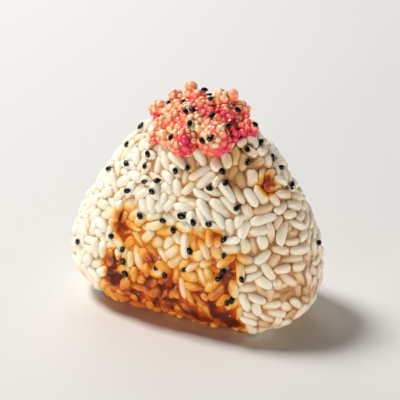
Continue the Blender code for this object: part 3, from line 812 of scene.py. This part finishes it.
def granule_patterns(count, seed):
    """Low-sided balls of radius 1, each pressed a little out of round."""
    chance = np.random.default_rng(seed)
    patterns = []
    for _ in range(count):
        mesh = low_ball(9, 6, chance.uniform(0, 2 * math.pi, 3))
        points = points_of(mesh) * (1.0 + OUT_OF_ROUND * chance.normal(size=3).clip(-1, 1))
        points += GRANULE_UNEVENNESS * chance.normal(size=points.shape)
        mesh.vertices.foreach_set("co", points.ravel())
        patterns.append(mesh)
    return patterns


granule_meshes = granule_patterns(GRANULE_SHAPES, GRANULE_SHAPE_SEED)
granules = roe_granules(LARGE, LARGE_SHOWING, LARGE_SPACING, LARGE_SEED, ROE_STANDING)
granules = roe_granules(SMALL, SMALL_SHOWING, SMALL_SPACING, SMALL_SEED, granules)
centres, radii = granules[:, :3], granules[:, 3]
granule_frames = [Matrix.Translation(c) @ Matrix.Scale(r, 4) for c, r in zip(centres, radii)]
roe_grains, owners = lay_out("roe_granules", granule_meshes, granule_frames)
granule_points = points_of(roe_grains.data)

# A granule has the colour of its place, a shade of its own, and edges and undersides painted redder as
# shade
granule_own = np.random.default_rng(GRANULE_SHADE_SEED).random(len(granules))
rim = smooth_step(RIM_SHADE_FROM, RIM_SHADE_FULL, over_lumps(granule_points).min(axis=1))
below = smooth_step(0.4, -0.9, (granule_points[:, 2] - centres[owners, 2]) / radii[owners])
red_and_shade = 0.72 * roe_red_and_shade(centres)[owners] + 0.30 * rim + 0.22 * (granule_own[owners] - 0.5)
red_and_shade += 0.24 * below
set_floats(roe_grains.data, "red", np.clip(red_and_shade, 0.0, 1.0))
finished(roe_grains, "roe_topping", moist_roe)


# The black sesame seeds on the roe.
# The same seeds as on the rice, stuck to the moist granules that they land on. Each is placed by its
# degrees round from the front and up from level, as seen from the middle of the roe.
ROE_MIDDLE = (0.0040, 0.0, 0.0620)
SEEDS_ON_ROE = (
    (-153, 75), (-168, 51), (63, 73), (-76, 36), (-68, 54), (-21, 48), (-6, 55), (43, 42),
    (7, 29), (59, 24), (93, 37), (87, 17), (-10, 10), (26, 11), (35, 14),
)
seeds_on_roe = scatter_seeds("sesame_seeds_on_roe", (roe_paste, roe_grains), ROE_MIDDLE,
                             directions(SEEDS_ON_ROE), np.random.default_rng(SEED_SEED))
finished(seeds_on_roe, "roe_topping", sesame)


# The camera looks at the ball from the front right and above. The main light falls from high on the
# left, and weaker ones come from the front, the right and behind, over a plain pale table.
EYE_AZIMUTH, EYE_ELEVATION = math.radians(27.5), math.radians(24.2)
EYE_DISTANCE = 0.480
LOOKED_AT = Vector((0.0021, 0.0011, 0.0365))
PIXELS_PER_METRE = 2989.0
PICTURE_SIDE = 400
LIT_POINT = Vector((0.0, 0.0, 0.03))

back = Vector((math.sin(EYE_AZIMUTH) * math.cos(EYE_ELEVATION),
               -math.cos(EYE_AZIMUTH) * math.cos(EYE_ELEVATION), math.sin(EYE_ELEVATION)))
camera_data = bpy.data.cameras.new("camera")
camera = bpy.data.objects.new("camera", camera_data)
bpy.context.scene.collection.objects.link(camera)
camera.location = LOOKED_AT + EYE_DISTANCE * back
camera.rotation_euler = back.to_track_quat("Z", "Y").to_euler()
camera_data.lens = camera_data.sensor_width * PIXELS_PER_METRE * EYE_DISTANCE / PICTURE_SIDE
camera_data.clip_start = 0.01
bpy.context.scene.camera = camera


def add_area_light(name, place, size, power, colour):
    """A square light that faces the ball."""
    data = bpy.data.lights.new(name, "AREA")
    data.size = size
    data.energy = power
    data.color = linear(colour)[:3]
    light = bpy.data.objects.new(name, data)
    bpy.context.scene.collection.objects.link(light)
    light.location = place
    light.rotation_euler = (Vector(place) - LIT_POINT).to_track_quat("Z", "Y").to_euler()


add_area_light("key_light", (-0.90, -0.02, 1.46), 0.44, 26.6, "#ffffff")
add_area_light("top_light", (-0.30, 0.75, 1.40), 0.80, 2.0, "#ffffff")
add_area_light("front_light", (-0.04, -1.29, 0.08), 0.15, 9.0, "#fff6ec")
add_area_light("fill_light", (1.02, 0.30, 0.04), 0.07, 5.3, "#ffeee4")
add_area_light("back_light", (-0.75, 0.95, 0.42), 0.60, 2.6, "#ffffff")

bpy.ops.object.select_all(action="DESELECT")
bpy.ops.mesh.primitive_plane_add(size=8.0, location=(0.0, 0.0, 0.0))
table_top = bpy.context.object
table_top.name = "table_top"
# Board painted matt white, which shows the ball's soft shadow and reflects nothing clearly
painted_board = new_material("matt white painted board", {
    "Base Color": linear("#e7e5e1"), "Roughness": 0.8})[0]
table_top.data.materials.append(painted_board)

world = bpy.data.worlds.new("studio")
world.use_nodes = True
sky = world.node_tree.nodes["Background"]
sky.inputs["Color"].default_value = linear("#f4f4f4")
sky.inputs["Strength"].default_value = 0.05
bpy.context.scene.world = world
bpy.context.scene.view_settings.view_transform = "Standard"
